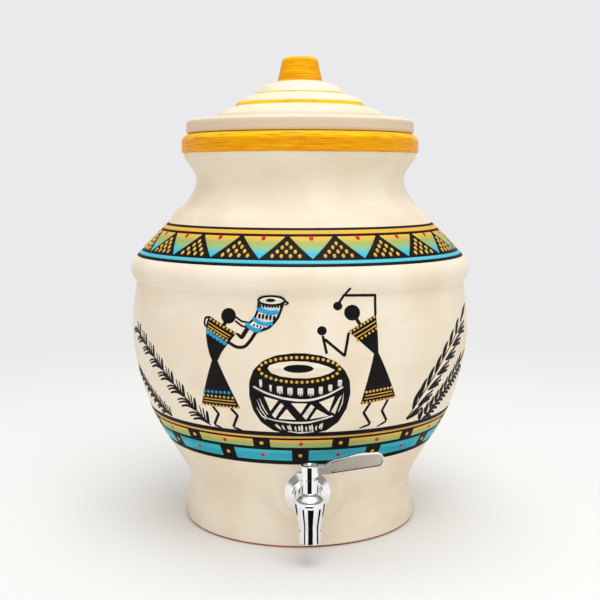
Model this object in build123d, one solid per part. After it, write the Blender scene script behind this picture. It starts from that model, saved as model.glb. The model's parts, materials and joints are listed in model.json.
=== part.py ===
# Terracotta water jar with a lift-off lid and a quarter-turn lever tap, in millimetres.
# +Z is up, the origin is the centre of the flat base, and the tap faces -Y.
# The tap is shut at rest, with its lever pointing to +X, and opens as the lever swings to -Y.
import os
from math import hypot

from build123d import *

# Clearances and cutter allowances
overrun = 2.0
running_gap = 0.05
thread_gap = 0.03
seat_gap = 0.3
loose_gap = 0.6

# Jar, outside: each rise is the height from the corner below, and each inset or swell is the
# difference in radius from the foot, the belly or the neck
foot_radius = 97.0
foot_height = 13.0
foot_edge = 2.0
waist_inset = 3.5
waist_rise = 21.0
belly_radius = 140.0
belly_rise = 128.0
groove_inset = 3.7
groove_rise = 39.0
ridge_swell = 0.6
ridge_rise = 11.0
slope_foot_inset = 3.6
slope_foot_rise = 8.0
slope_top_swell = 23.2
slope_rise = 27.8
roll_swell = 20.4
roll_rise = 5.0
neck_radius = 86.2
neck_rise = 30.2
collar_root_swell = 10.2
collar_root_rise = 21.0
collar_swell = 11.6
collar_step = 0.7
collar_round = 7.0
collar_height = 15.6

# Jar, inside
wall = 9.0
floor_thickness = 10.0
floor_corner = 12.0
mouth_inset = 14.3
mouth_depth = 13.0
mouth_edge = 2.0

# Points of a curve between two named corners, each a share of the rise and a share of the radius
foot_shares = ((0.24, 0.22), (0.48, 0.66))
flare_shares = ((0.086, 0.080), (0.176, 0.224), (0.281, 0.391), (0.445, 0.643), (0.664, 0.856),
                (0.867, 0.972))
upper_belly_shares = ((0.52, 0.36),)
neck_shares = ((0.11, 0.10), (0.203, 0.28), (0.287, 0.455), (0.467, 0.685), (0.667, 0.882))
throat_shares = ((0.343, 0.212), (0.535, 0.49), (0.718, 0.77))
inner_slope_shares = (0.3, 0.62, 1.0)

# Clay boss that carries the tap, its ground face, and the hollow cut behind it inside the jar
tap_height = 47.3
boss_reach = 14.0
boss_rise = 4.0
boss_radius = 46.0
boss_depth = 32.5
boss_face_rim = 3.6
boss_blend_radius = 8.0
boss_shares = ((0.045, 0.16), (0.155, 0.29), (0.30, 0.40), (0.46, 0.52), (0.63, 0.67), (0.82, 0.84))
outer_flat_margin = 1.1
inner_flat_margin = 2.2
inner_flare = 4.0
clamped_clay = 9.0

# Lid
lid_inset = 4.0
lid_edge_height = 11.4
lid_lower_round = 2.2
lid_upper_round = 4.2
tier_radii = (70.5, 54.4, 37.2)
tier_heights = (12.0, 22.1, 32.4)
tier_shares = ((0.27, 0.115), (0.50, 0.225), (0.66, 0.38), (0.85, 0.70))
knob_root_radius = 18.6
knob_root_height = 42.9
knob_tip_radius = 15.2
knob_rise = 20.4
knob_round = 4.6
knob_crown = 0.8
flange_clearance = 2.6
flange_thickness = 7.0
flange_depth = 12.0
flange_edge = 1.5
lid_wall = 8.0
dome_shares = ((0.16, 0.10), (0.42, 0.30), (0.72, 0.55), (0.93, 0.80))

# Threaded shank and what it clamps against the clay
shank_radius = 8.0
shank_bore_radius = 5.0
shank_tail = 4.0
shank_edge = 0.6
outer_gasket_radius = 10.6
inner_gasket_radius = 14.0
inner_gasket_thickness = 2.5
washer_radius = 14.4
washer_thickness = 1.5
nut_across_flats = 24.0
nut_thickness = 7.0
nut_chamfer = 1.0

# Escutcheon, the dished cover between the tap and the boss
escutcheon_radius = 17.3
escutcheon_depth = 5.6
escutcheon_wall = 0.9
escutcheon_face_radius = 12.2
escutcheon_lip = 1.1
escutcheon_round = 1.2

# Tap body: neck, valve chamber, spout and tower
reach = 21.9
tap_neck_radius = 10.1
neck_flange_radius = 10.9
neck_flange_width = 2.4
neck_flange_edge = 0.5
chamber_radius = 11.5
chamber_rise = 0.7
tower_radius = 6.15
tower_foot_rise = 9.4
tower_top_rise = 18.8
shoulder_shares = ((0.29, 0.06), (0.59, 0.44), (0.80, 0.80))
spout_radius = 8.5
spout_taper_drop = 18.3
spout_end_drop = 28.3
spout_edge = 0.6
taper_shares = ((0.28, 0.20), (0.48, 0.43), (0.76, 0.80))
throat_radius = 4.8
spout_bore_radius = 6.6
spout_bore_depth = 9.0

# Valve: a ball with an angled port between two seats, and the stem that turns it
ball_radius = 7.0
ball_port_radius = 4.2
ball_seat_bore_radius = 4.4
ball_seat_radius = 7.0
ball_seat_reach = 4.2
inlet_seat_thickness = 4.4
front_seat_thickness = 1.8
cavity_clearance = 0.35
slot_width = 3.0
slot_depth = 1.8
stem_radius = 3.5
stem_collar_radius = 4.6
stem_collar_height = 1.1
thrust_washer_height = 0.6
o_ring_section_radius = 0.6
o_ring_rise_shares = (0.32, 0.74)
stem_square = 4.8
stem_chamfer = 0.4

# Handle: hub, lever blade and screw, with the stop lug that the hub swings round
hub_radius = 6.45
hub_gap = 0.7
hub_height = 10.0
hub_edge = 0.5
socket_depth = 5.6
hub_web = 2.0
hub_recess_radius = 5.0
stop_height = 2.4
stop_inner_radius = 4.4
stop_start_angle = -95.0
stop_lug_angle = 31.0
stop_play_angle = 1.0
opening_angle = 90.0
lever_length = 53.8
lever_root = 5.4
lever_thickness = 3.2
arm_low = 2.9
arm_high = 9.7
arm_length = 11.2
blade_start = 14.0
blade_low = 3.25
blade_high = 12.5
blade_tip_low = 8.9
blade_tip_high = 19.2
blade_bend = 36.0
blade_bend_high = 18.3
tip_round = 4.4
bend_round = 30.0
shoulder_round = 5.0
panel_rim = 1.1
panel_depth = 0.5
panel_round = 3.2
lever_edge = 0.4
screw_head_radius = 3.6
screw_head_height = 1.7
screw_edge_height = 0.5
screw_radius = 1.5
screw_length = 6.0
screw_slot_width = 0.8
screw_slot_depth = 0.6

# Radii, heights and distances that follow from the sizes above
waist_radius = foot_radius - waist_inset
groove_radius = belly_radius - groove_inset
ridge_radius = belly_radius + ridge_swell
slope_foot_radius = belly_radius - slope_foot_inset
slope_top_radius = neck_radius + slope_top_swell
roll_radius = neck_radius + roll_swell
collar_root_radius = neck_radius + collar_root_swell
collar_radius = neck_radius + collar_swell
mouth_radius = collar_radius - mouth_inset
lid_radius = collar_radius - lid_inset
waist_height = foot_height + waist_rise
belly_height = waist_height + belly_rise
groove_height = belly_height + groove_rise
ridge_height = groove_height + ridge_rise
slope_foot_height = ridge_height + slope_foot_rise
slope_top_height = slope_foot_height + slope_rise
roll_height = slope_top_height + roll_rise
neck_height = roll_height + neck_rise
collar_root_height = neck_height + collar_root_rise
jar_height = collar_root_height + collar_height
lid_seat = jar_height + seat_gap
seat_distance = waist_radius + boss_reach
outer_flat_radius = escutcheon_radius + outer_flat_margin
boss_face_radius = outer_flat_radius + boss_face_rim
inner_flat_radius = washer_radius + inner_flat_margin
chamber_height = tap_height + chamber_rise
tower_foot_height = tap_height + tower_foot_rise
tower_top_height = tap_height + tower_top_rise
spout_taper_height = tap_height - spout_taper_drop
spout_end_height = tap_height - spout_end_drop
inner_flat_distance = seat_distance - clamped_clay
escutcheon_face = seat_distance + escutcheon_depth
stem_distance = escutcheon_face + reach
shank_front = stem_distance - ball_seat_reach - inlet_seat_thickness
washer_face = inner_flat_distance - inner_gasket_thickness
nut_face = washer_face - washer_thickness
shank_end = nut_face - nut_thickness - shank_tail
cavity_radius = ball_radius + cavity_clearance
stem_collar_bottom = tap_height + ball_radius + running_gap
thrust_washer_bottom = stem_collar_bottom + stem_collar_height + running_gap
stem_pocket_top = thrust_washer_bottom + thrust_washer_height
stem_bore_radius = stem_radius + running_gap
hub_bottom = tower_top_height + hub_gap
hub_top = hub_bottom + hub_height
socket_top = hub_bottom + socket_depth
recess_floor = socket_top + hub_web


def between(start, end, shares):
    """Points between two (radius, height) corners, at shares of the rise and of the change of radius."""
    run, rise = end[0] - start[0], end[1] - start[1]
    return [(start[0] + run * outward_share, start[1] + rise * share) for share, outward_share in shares]


def smooth(points, start_way, end_way):
    """A curve through the points that sets out and arrives in the given directions."""
    return Spline(*points, tangents=(start_way, end_way), tangent_scalars=(1, 1))


def turned(outline):
    """A solid of revolution about Z, from a closed outline of radius and height."""
    return revolve(make_face(Plane.XZ * outline), Axis.Z)


def ring(outer, inner, low, high):
    """A plain ring about Z between two heights, or a disc where the inner radius is 0."""
    return turned(Polyline((inner, low), (outer, low), (outer, high), (inner, high), close=True))


def sector(outer, inner, low, high, start_angle, swept_angle):
    """A part of a ring about Z, from one angle on through another."""
    profile = Polyline((inner, low), (outer, low), (outer, high), (inner, high), close=True)
    return Rot(0, 0, start_angle) * revolve(make_face(Plane.XZ * profile), Axis.Z, swept_angle)


def outward(shape):
    """Lays a piece turned about Z along the tap's axis: its height becomes its distance from Z."""
    return Pos(0, 0, tap_height) * Rot(90, 0, 0) * shape


def at_stem(shape):
    """Moves a piece turned about Z onto the stem's axis."""
    return Pos(0, -stem_distance, 0) * shape


def ball_sphere(radius):
    """A sphere about the centre of the valve ball."""
    return Pos(0, -stem_distance, tap_height) * Sphere(radius)


def jar_outside():
    """The jar's outer form, solid, without its boss."""
    foot = (foot_radius, foot_height)
    waist = (waist_radius, waist_height)
    belly = (belly_radius, belly_height)
    groove = (groove_radius, groove_height)
    slope_foot = (slope_foot_radius, slope_foot_height)
    slope_top = (slope_top_radius, slope_top_height)
    roll = (roll_radius, roll_height)
    neck = (neck_radius, neck_height)
    collar_root = (collar_root_radius, collar_root_height)
    collar_start = (collar_radius, collar_root_height + collar_step)
    collar_end = (collar_radius, jar_height - collar_round)
    rim = (collar_radius - collar_round, jar_height)
    side = [foot, *between(foot, waist, foot_shares), waist, *between(waist, belly, flare_shares), belly]
    side += [*between(belly, groove, upper_belly_shares), groove]
    throat = [slope_top, roll, *between(roll, neck, neck_shares), neck]
    throat += [*between(neck, collar_root, throat_shares), collar_root]
    outline = Line((0, 0), (foot_radius - foot_edge, 0))
    outline += RadiusArc((foot_radius - foot_edge, 0), (foot_radius, foot_edge), -foot_edge)
    outline += Line((foot_radius, foot_edge), foot)
    outline += smooth(side, (0, 1), (0, 1))
    outline += ThreePointArc(groove, (ridge_radius, ridge_height), slope_foot)
    outline += Line(slope_foot, slope_top)
    outline += Spline(*throat)
    outline += Polyline(collar_root, collar_start, collar_end)
    outline += RadiusArc(collar_end, rim, -collar_round)
    outline += Polyline(rim, (0, jar_height), (0, 0))
    return turned(outline)


def jar_inside():
    """The space inside the jar, from its floor up past its mouth, one wall inside the outer form."""
    slope_run = slope_foot_radius - slope_top_radius
    slope_rise = slope_top_height - slope_foot_height
    slope_length = hypot(slope_run, slope_rise)
    inset_radius = wall * slope_rise / slope_length
    inset_height = wall * slope_run / slope_length
    slope_foot = (slope_foot_radius - inset_radius, slope_foot_height - inset_height)
    slope_top = (slope_top_radius - inset_radius, slope_top_height - inset_height)
    corner_radius = waist_radius - wall
    corner = (corner_radius, floor_thickness + floor_corner)
    waist = (corner_radius, waist_height)
    belly = (belly_radius - wall, belly_height)
    groove = (groove_radius - wall, groove_height)
    roll = (roll_radius - wall, roll_height)
    neck = (neck_radius - wall, neck_height)
    mouth = (mouth_radius, jar_height - mouth_depth)
    rim = (mouth_radius, jar_height - mouth_edge)
    rim_top = (mouth_radius + mouth_edge, jar_height)
    side = [corner, waist, *between(waist, belly, flare_shares[1:]), belly]
    side += [*between(belly, groove, upper_belly_shares), groove]
    side += between(slope_foot, slope_top, [(share, share) for share in inner_slope_shares])
    side += [*between(roll, neck, neck_shares[2:]), neck, mouth]
    outline = Line((0, floor_thickness), (corner_radius - floor_corner, floor_thickness))
    outline += RadiusArc((corner_radius - floor_corner, floor_thickness), corner, -floor_corner)
    outline += smooth(side, (0, 1), (0, 1))
    outline += Line(mouth, rim)
    outline += RadiusArc(rim, rim_top, mouth_edge)
    outline += Polyline(rim_top, (rim_top[0], jar_height + overrun), (0, jar_height + overrun),
                        (0, floor_thickness))
    return turned(outline)


def clay_boss():
    """The clay smoothed up round the tap's hole: a flat face, then a slope that spreads into the wall."""
    back = seat_distance - boss_depth
    face_edge = (boss_face_radius, seat_distance)
    foot = (boss_radius, back)
    outline = smooth([face_edge, *between(face_edge, foot, boss_shares), foot], (1, 0), (1, -1))
    outline += Polyline(foot, (0, back), (0, seat_distance), face_edge)
    return Pos(0, 0, boss_rise) * outward(turned(outline))


def make_jar():
    """The jar with its boss, the ground face on it, the hollow inside for the nut, and the tap's hole."""
    clay = jar_outside() + clay_boss()
    joins = clay.edges().filter_by(GeomType.BSPLINE).sort_by(Axis.Y)[:2]
    clay = fillet(joins, boss_blend_radius)
    clay -= jar_inside()
    clay -= outward(ring(outer_flat_radius, 0, seat_distance, seat_distance + boss_depth))
    hollow_depth = inner_flat_distance - shank_end + overrun
    hollow = Pos(0, 0, inner_flat_distance - hollow_depth / 2)
    hollow *= Cone(inner_flat_radius + inner_flare, inner_flat_radius, hollow_depth)
    clay -= outward(hollow)
    clay -= outward(ring(shank_radius + loose_gap, 0, shank_end, seat_distance + overrun))
    return clay


def tier_curve(start, end):
    """One tier of the lid, from its root up over its rounded brow to the next root."""
    return Spline(start, *between(start, end, tier_shares), end)


def make_lid():
    """The lid: a rim that rests on the jar, three tiers and a knob, hollow below with a locating flange."""
    seat = lid_seat
    brim_top = seat + lid_edge_height
    roots = [(radius, seat + height) for radius, height in zip(tier_radii, tier_heights)]
    knob_root = (knob_root_radius, seat + knob_root_height)
    knob_top = seat + knob_root_height + knob_rise
    knob_side = (knob_tip_radius, knob_top - knob_crown - knob_round)
    knob_edge = (knob_tip_radius - knob_round, knob_top - knob_crown)
    flange_radius = mouth_radius - flange_clearance
    hollow_radius = flange_radius - flange_thickness
    hollow_foot = (hollow_radius, seat)
    hollow_top = (0, seat + knob_root_height - lid_wall)
    outline = Line((flange_radius, seat), (lid_radius - lid_lower_round, seat))
    edge_low = (lid_radius, seat + lid_lower_round)
    edge_high = (lid_radius, brim_top - lid_upper_round)
    brim_edge = (lid_radius - lid_upper_round, brim_top)
    outline += RadiusArc((lid_radius - lid_lower_round, seat), edge_low, -lid_lower_round)
    outline += Line(edge_low, edge_high)
    outline += RadiusArc(edge_high, brim_edge, -lid_upper_round)
    outline += Line(brim_edge, roots[0])
    for start, end in zip(roots, [*roots[1:], knob_root]):
        outline += tier_curve(start, end)
    outline += Line(knob_root, knob_side)
    outline += RadiusArc(knob_side, knob_edge, -knob_round)
    outline += ThreePointArc(knob_edge, (0, knob_top), (-knob_edge[0], knob_edge[1])).trim(0, 0.5)
    outline += Line((0, knob_top), hollow_top)
    dome = between(hollow_foot, hollow_top, dome_shares)
    outline += smooth([hollow_top, *dome[::-1], hollow_foot], (1, 0), (0, -1))
    outline += Polyline(hollow_foot, (hollow_radius, seat - flange_depth),
                        (flange_radius - flange_edge, seat - flange_depth),
                        (flange_radius, seat - flange_depth + flange_edge), (flange_radius, seat))
    return turned(outline)


def make_escutcheon():
    """A dished steel cover: a short rim on the clay, a cone, and a flat face with a hole for the shank."""
    face = seat_distance + escutcheon_depth
    hole = shank_radius + running_gap
    slant = hypot(escutcheon_radius - escutcheon_face_radius, escutcheon_depth - escutcheon_lip)
    run = escutcheon_wall * (escutcheon_depth - escutcheon_lip) / slant
    outline = Polyline((escutcheon_radius, seat_distance),
                       (escutcheon_radius, seat_distance + escutcheon_lip),
                       (escutcheon_face_radius, face), (hole, face), (hole, face - escutcheon_wall),
                       (escutcheon_face_radius - run, face - escutcheon_wall),
                       (escutcheon_radius - escutcheon_wall, seat_distance), close=True)
    cover = turned(outline)
    front = cover.faces().sort_by(Axis.Z)[-1]
    return outward(fillet(front.edges().sort_by(SortBy.RADIUS)[-1], escutcheon_round))


def make_outer_gasket():
    """The soft ring inside the escutcheon, between the clay and the escutcheon's face."""
    bore = shank_radius + running_gap
    return outward(ring(outer_gasket_radius, bore, seat_distance, escutcheon_face - escutcheon_wall))


def make_inner_gasket():
    """The soft ring on the clay inside the jar."""
    return outward(ring(inner_gasket_radius, shank_radius + running_gap, washer_face, inner_flat_distance))


def make_clamp_washer():
    """The steel washer between the nut and the inner gasket."""
    return outward(ring(washer_radius, shank_radius + running_gap, nut_face, washer_face))


def make_lock_nut():
    """A hexagon nut on the shank, its corners chamfered on both faces."""
    back = nut_face - nut_thickness
    corner_radius = nut_across_flats / 2 + nut_chamfer
    hexagon = RegularPolygon(nut_across_flats / 2, 6, major_radius=False)
    blank = extrude(Plane.XY.offset(back) * hexagon, nut_thickness)
    envelope = ring(corner_radius, 0, back, nut_face)
    nut = blank & chamfer(envelope.edges().filter_by(GeomType.CIRCLE), nut_chamfer)
    return outward(nut - ring(shank_radius + thread_gap, 0, back - overrun, nut_face + overrun))


def make_shank():
    """The hollow threaded shank, from inside the jar into the tap's neck, where it holds the inlet seat."""
    tube = ring(shank_radius, shank_bore_radius, shank_end, shank_front)
    tail = tube.edges().filter_by(GeomType.CIRCLE).sort_by(Axis.Z)[:2].sort_by(SortBy.RADIUS)[-1]
    return outward(chamfer(tail, shank_edge))


def tap_shell():
    """The tap body before it is bored: neck with its flange, chamber, tapering spout, tower and stop lug."""
    lug_top = tower_top_height + stop_height
    tower_foot = (tower_radius, tower_foot_height)
    chamber = (chamber_radius, chamber_height)
    taper = (spout_radius, spout_taper_height)
    shoulder = between(chamber, tower_foot, shoulder_shares)
    belly = between(chamber, taper, taper_shares)
    outline = Polyline((0, spout_end_height), (spout_radius, spout_end_height), taper)
    outline += smooth([taper, *belly[::-1], chamber, *shoulder, tower_foot], (0, 1), (-1, 1))
    outline += Polyline(tower_foot, (tower_radius, lug_top), (0, lug_top), (0, spout_end_height))
    upright = turned(outline)
    upright = fillet(upright.edges().filter_by(GeomType.CIRCLE).sort_by(Axis.Z)[0], spout_edge)
    upright -= ring(stop_inner_radius, 0, tower_top_height, lug_top + overrun)
    upright -= sector(tower_radius + overrun, 0, tower_top_height, lug_top + overrun,
                      stop_start_angle + stop_lug_angle, 360 - stop_lug_angle)
    neck = ring(tap_neck_radius, 0, escutcheon_face, stem_distance)
    flange = ring(neck_flange_radius, 0, escutcheon_face, escutcheon_face + neck_flange_width)
    flange = fillet(flange.edges().filter_by(GeomType.CIRCLE), neck_flange_edge)
    return at_stem(upright) + outward(neck + flange)


def make_tap_body():
    """The tap body bored for the shank, the ball and its seats, the spout and the stem."""
    front_seat_back = stem_distance + ball_seat_reach + front_seat_thickness
    pocket = ball_seat_radius + thread_gap
    body = tap_shell()
    body -= outward(ring(shank_radius + thread_gap, 0, escutcheon_face - overrun, shank_front))
    body -= outward(ring(pocket, 0, shank_front, front_seat_back))
    body -= ball_sphere(cavity_radius)
    body -= at_stem(ring(throat_radius, 0, spout_end_height - overrun, tap_height))
    bore_top = spout_end_height + spout_bore_depth
    body -= at_stem(ring(spout_bore_radius, 0, spout_end_height - overrun, bore_top))
    body -= at_stem(ring(stem_collar_radius + running_gap, 0, tap_height, stem_pocket_top))
    body -= at_stem(ring(stem_bore_radius, 0, tap_height, tower_top_height + stop_height + overrun))
    return body


def make_inlet_seat():
    """The seal between the shank's end and the ball, hollowed to the ball."""
    end = stem_distance - ball_seat_reach
    seat = outward(ring(ball_seat_radius, ball_seat_bore_radius, shank_front, end))
    return seat - ball_sphere(ball_radius + running_gap)


def make_front_seat():
    """The ring that backs the ball on the side away from the jar."""
    start = stem_distance + ball_seat_reach
    seat = outward(ring(ball_seat_radius, ball_seat_bore_radius, start, start + front_seat_thickness))
    return seat - ball_sphere(ball_radius + running_gap)


def make_valve_ball():
    """The ball: a port up from the spout that turns out to one side, and a slot for the stem."""
    ball = Sphere(ball_radius)
    ball -= ring(ball_port_radius, 0, -ball_radius - overrun, 0)
    ball -= Rot(0, -90, 0) * ring(ball_port_radius, 0, 0, ball_radius + overrun)
    ball -= Sphere(ball_port_radius)
    slot_middle = ball_radius + (overrun - slot_depth) / 2
    slot = Pos(0, 0, slot_middle) * Box(2 * ball_radius, slot_width, slot_depth + overrun)
    return Pos(0, -stem_distance, tap_height) * (ball - slot)


def o_ring_heights():
    """The heights of the stem's two sealing rings inside the tower."""
    return [stem_pocket_top + (tower_top_height - stem_pocket_top) * share for share in o_ring_rise_shares]


def make_valve_stem():
    """The stem: a tang in the ball's slot, a collar, two ring grooves, and a square for the hub."""
    square_top = socket_top - running_gap
    tang_low = tap_height + ball_radius - slot_depth + running_gap
    groove_floor = stem_bore_radius - running_gap / 2 - 2 * o_ring_section_radius
    stem = ring(stem_radius, 0, stem_collar_bottom, tower_top_height)
    stem += ring(stem_collar_radius, 0, stem_collar_bottom, stem_collar_bottom + stem_collar_height)
    for height in o_ring_heights():
        low = height - o_ring_section_radius
        stem -= ring(stem_radius + overrun, groove_floor, low, low + 2 * o_ring_section_radius)
    tang_width = slot_width - 2 * running_gap
    tang = ring(stem_radius, 0, tang_low, stem_collar_bottom)
    tang_reach = stem_collar_bottom - tap_height
    tang &= Pos(0, 0, tap_height) * Box(2 * stem_radius, tang_width, 2 * tang_reach)
    square = Plane.XY.offset(tower_top_height) * Rectangle(stem_square, stem_square)
    square = extrude(square, square_top - tower_top_height)
    square = chamfer(square.faces().sort_by(Axis.Z)[-1].edges(), stem_chamfer)
    stem = stem + tang + square
    stem -= ring(screw_radius + thread_gap, 0, recess_floor - screw_length - running_gap, square_top)
    return at_stem(stem)


def make_stem_o_rings():
    """The two sealing rings in the stem's grooves."""
    major = stem_bore_radius - running_gap / 2 - o_ring_section_radius
    ring_shape = Torus(major, o_ring_section_radius)
    return Compound(children=[at_stem(Pos(0, 0, height) * ring_shape) for height in o_ring_heights()])


def make_thrust_washer():
    """The slippery washer between the stem's collar and the roof of its pocket."""
    return at_stem(ring(stem_collar_radius, stem_bore_radius, thrust_washer_bottom, stem_pocket_top))


def rounded(corners, rounds):
    """A flat outline through the corners, each rounded by its own radius unless that is 0."""
    outline = make_face(Polyline(*corners, close=True))
    for corner, radius in zip(corners, rounds):
        if radius > 0:
            outline = fillet(outline.vertices().sort_by_distance(Vector(*corner))[0], radius)
    return outline


def blade_corners(rim):
    """The blade's corners seen from the front, moved in from its edge by the rim, low root first."""
    edge = make_face(Polyline((blade_start, blade_low), (lever_length, blade_tip_low),
                              (lever_length, blade_tip_high), (blade_bend, blade_bend_high),
                              (blade_start, blade_high), close=True))
    if rim > 0:
        edge = offset(edge, -rim)
    points = edge.vertices()
    bend = points.sort_by_distance(Vector(blade_bend, blade_bend_high))[0]
    left = points.sort_by(Axis.X)[:2].sort_by(Axis.Y)
    right = points.sort_by(Axis.X)[-2:].sort_by(Axis.Y)
    return [(point.X, point.Y) for point in (left[0], right[0], right[1], bend, left[1])]


def make_lever_handle():
    """The hub with its socket, recess and stop notch, and the lever with a sunk panel on its front."""
    front = Plane(origin=(0, -lever_thickness / 2, hub_bottom), x_dir=(1, 0, 0), z_dir=(0, -1, 0))
    arm_root = (lever_root, arm_low)
    arm_top = [(arm_length, arm_high), (lever_root, arm_high)]
    rounds = [0, bend_round, tip_round, tip_round, bend_round, shoulder_round, shoulder_round, 0]
    outline = rounded([arm_root, *blade_corners(0), *arm_top], rounds)
    inner_tip_round = tip_round - panel_rim
    panel_rounds = [panel_round, inner_tip_round, inner_tip_round, bend_round, panel_round]
    panel = rounded(blade_corners(panel_rim), panel_rounds)
    lever = extrude(front * outline, -lever_thickness)
    sides = lever.faces().sort_by(Axis.Y)
    lever = fillet(sides[0].edges() + sides[-1].edges(), lever_edge)
    lever -= extrude(front * panel, -panel_depth)
    hub = ring(hub_radius, 0, hub_bottom, hub_top)
    hub = fillet(hub.edges().filter_by(GeomType.CIRCLE).sort_by(Axis.Z)[-1], hub_edge)
    handle = hub + lever
    handle -= ring(hub_recess_radius, 0, recess_floor, hub_top + overrun)
    handle -= ring(screw_radius + running_gap, 0, socket_top, recess_floor)
    socket = stem_square + 2 * running_gap
    handle -= extrude(Plane.XY.offset(hub_bottom) * Rectangle(socket, socket), socket_depth)
    notch_top = tower_top_height + stop_height + seat_gap
    notch_angle = stop_lug_angle + opening_angle + 2 * stop_play_angle
    handle -= sector(hub_radius + overrun, stop_inner_radius - seat_gap, hub_bottom, notch_top,
                     stop_start_angle - stop_play_angle, notch_angle)
    return at_stem(handle)


def make_handle_screw():
    """The domed screw in the hub's recess, slotted, with its shank down into the stem."""
    dome_foot = (screw_head_radius, recess_floor + screw_edge_height)
    dome_top = (0, recess_floor + screw_head_height)
    outline = Polyline((0, recess_floor - screw_length), (screw_radius, recess_floor - screw_length),
                       (screw_radius, recess_floor), (screw_head_radius, recess_floor), dome_foot)
    outline += smooth([dome_foot, dome_top], (-1, 1), (-1, 0))
    outline += Line(dome_top, (0, recess_floor - screw_length))
    screw = turned(outline)
    slot_middle = recess_floor + screw_head_height + (overrun - screw_slot_depth) / 2
    slot = Box(2 * screw_head_radius, screw_slot_width, screw_slot_depth + overrun)
    screw -= Pos(0, 0, slot_middle) * slot
    return at_stem(screw)


pieces = {
    "jar": make_jar,
    "lid": make_lid,
    "escutcheon": make_escutcheon,
    "outer_gasket": make_outer_gasket,
    "inner_gasket": make_inner_gasket,
    "clamp_washer": make_clamp_washer,
    "lock_nut": make_lock_nut,
    "threaded_shank": make_shank,
    "tap_body": make_tap_body,
    "inlet_seat": make_inlet_seat,
    "front_seat": make_front_seat,
    "valve_ball": make_valve_ball,
    "valve_stem": make_valve_stem,
    "stem_o_rings": make_stem_o_rings,
    "thrust_washer": make_thrust_washer,
    "lever_handle": make_lever_handle,
    "handle_screw": make_handle_screw,
}

os.makedirs("parts", exist_ok=True)
for name, make in pieces.items():
    export_step(make(), "parts/" + name + ".step")
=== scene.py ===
# A terracotta water jar with a lift-off lid and a lever tap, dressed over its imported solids.
# Lengths are in metres. The painted work is drawn flat in millimetres, x round the jar to the right
# of the tap and y up it, and is then wrapped onto the wall.
import json
from math import pi, radians

import bmesh
import bpy
import numpy as np
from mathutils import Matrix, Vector
from mathutils.bvhtree import BVHTree

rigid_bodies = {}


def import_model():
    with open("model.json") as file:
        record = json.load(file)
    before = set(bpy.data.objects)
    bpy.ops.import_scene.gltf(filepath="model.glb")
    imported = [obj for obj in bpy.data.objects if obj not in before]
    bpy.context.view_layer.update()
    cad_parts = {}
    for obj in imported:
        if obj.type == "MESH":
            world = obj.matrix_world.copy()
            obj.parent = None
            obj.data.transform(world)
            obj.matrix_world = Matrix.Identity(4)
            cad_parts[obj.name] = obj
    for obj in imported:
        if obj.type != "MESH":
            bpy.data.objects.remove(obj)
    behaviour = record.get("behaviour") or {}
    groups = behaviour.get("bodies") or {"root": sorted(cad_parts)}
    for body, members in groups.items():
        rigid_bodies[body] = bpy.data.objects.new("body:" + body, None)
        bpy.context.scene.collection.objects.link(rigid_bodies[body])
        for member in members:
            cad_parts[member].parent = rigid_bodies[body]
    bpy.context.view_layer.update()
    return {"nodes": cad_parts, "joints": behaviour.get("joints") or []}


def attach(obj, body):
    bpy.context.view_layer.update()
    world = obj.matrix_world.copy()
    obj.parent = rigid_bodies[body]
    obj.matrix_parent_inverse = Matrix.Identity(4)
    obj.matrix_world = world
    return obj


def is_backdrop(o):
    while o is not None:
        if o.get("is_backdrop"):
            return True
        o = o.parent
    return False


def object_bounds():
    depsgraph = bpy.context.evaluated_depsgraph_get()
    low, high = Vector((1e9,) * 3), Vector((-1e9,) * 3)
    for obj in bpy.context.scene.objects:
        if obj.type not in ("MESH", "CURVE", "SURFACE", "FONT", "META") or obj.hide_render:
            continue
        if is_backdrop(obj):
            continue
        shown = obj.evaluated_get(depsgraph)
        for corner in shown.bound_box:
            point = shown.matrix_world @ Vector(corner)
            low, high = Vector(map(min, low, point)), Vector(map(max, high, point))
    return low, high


for leftover in list(bpy.data.objects):
    bpy.data.objects.remove(leftover)
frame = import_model()
nodes = frame["nodes"]

MM = 0.001

# The radius, in millimetres, at which turns round the jar are drawn
DRAWING_RADIUS = 135.0

# The foot of the tap's upright stem, which is the axis that its lever turns about
tap_turn = next(joint for joint in frame["joints"] if joint["name"] == "tap_turn")
STEM = (*tap_turn["pos_m"][:2], 0)

# On the lever: the hub's reach from the stem's axis, how far forward its rim lies, and where its neck ends
HUB_REACH = 0.0066
LEVER_RIM = -0.13635
LEVER_NECK = 0.0156

# Heights that are gilded, heights below which an inner face is bare clay, the height below which the foot's
# edge is terracotta brown, and the height below which the lid's upright faces carry painted shade, a tone
# deeper
JAR_GILDING = [(0.3042, 0.3250)]
LID_GILDING = [(0.3423, 0.3452), (0.3523, 0.3533), (0.3630, 0.4000)]
JAR_BARE_BELOW, LID_BARE_BELOW = 0.3166, 0.3201
FOOT_EDGE = 0.0018
LID_PAINTED_SHADE_BELOW = 0.3345


# Colours, as written in the paint

def tint(red, green, blue):
    """A colour given as it looks on a screen, from 0 to 255, in the linear values that a shader takes."""
    share = np.array((red, green, blue)) / 255
    linear = np.where(share <= 0.04045, share / 12.92, ((share + 0.055) / 1.055) ** 2.4)
    return (*linear.tolist(), 1.0)


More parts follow.
